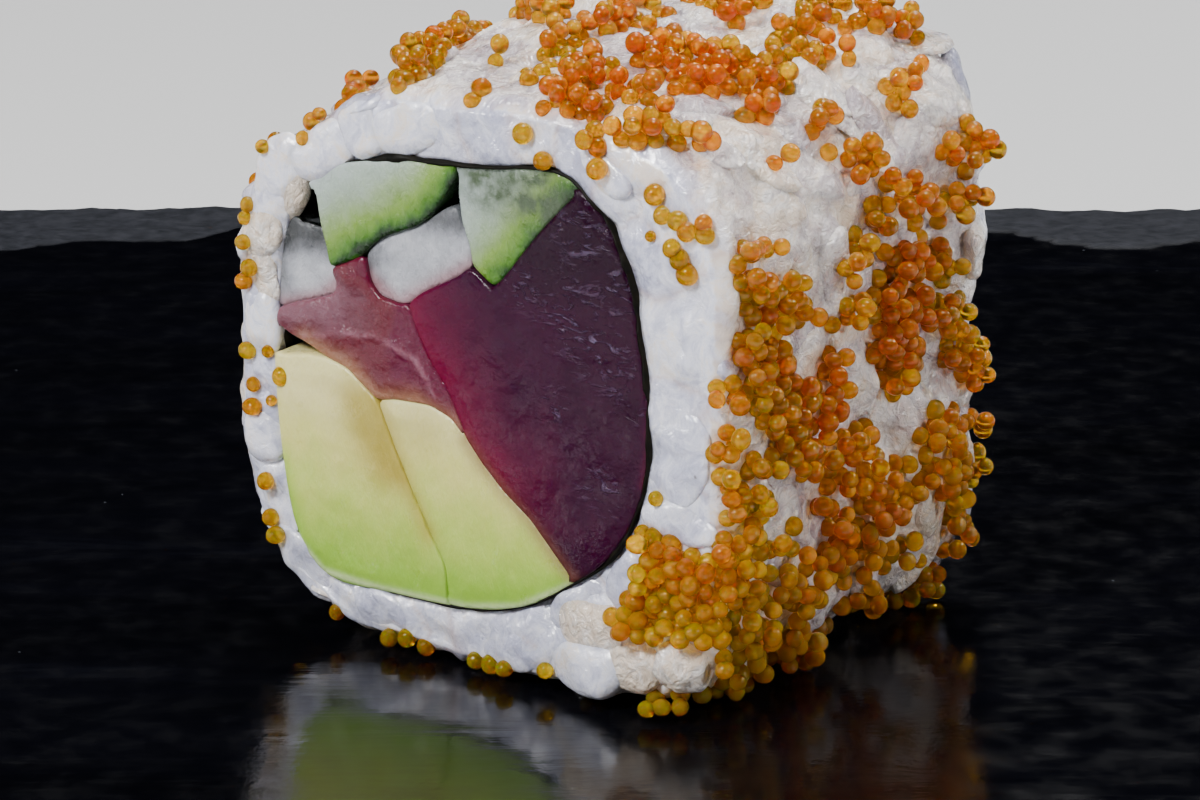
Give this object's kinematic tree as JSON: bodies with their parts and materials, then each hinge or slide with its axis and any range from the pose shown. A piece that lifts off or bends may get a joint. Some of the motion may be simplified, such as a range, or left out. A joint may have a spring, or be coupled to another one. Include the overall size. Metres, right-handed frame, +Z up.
{
  "type": "uramaki sushi roll on a slate board",
  "caption": "Cut piece of inside-out sushi roll with tuna, avocado and cucumber in a sheet of nori under lumpy rice, lying on its side on a small slate board.",
  "frame": {"origin": "The middle of the board's underside, on the surface that the board lies on.", "axes": "+Z is up. +Y runs along the board's longer side, from the edge nearest the roll to the flaked far edge. +X is to the right as seen with the cut face in front. The roll points back and to the right, turned 34 degrees from +Y."},
  "size_m": [0.14, 0.16, 0.0484],
  "materials": {
    "slate": "dark cleft slate, oiled",
    "rice": "moist pressed rice",
    "nori": "dark dried seaweed",
    "tuna_dark": "moist raw tuna, wine red",
    "tuna_pale": "moist raw tuna, dusty pink",
    "avocado": "soft avocado flesh",
    "cucumber": "moist cucumber with green skin",
    "cucumber_pale": "moist pale cucumber flesh",
    "roe": "translucent orange fish roe"
  },
  "bodies": {
    "root": {"board": "slate", "rice": "rice", "nori": "nori", "tuna_large": "tuna_dark", "tuna_small": "tuna_pale", "avocado_left": "avocado", "avocado_right": "avocado", "cucumber_left": "cucumber", "cucumber_right": "cucumber", "cucumber_stick_left": "cucumber_pale", "cucumber_stick_middle": "cucumber_pale"}
  },
  "joints": []
}
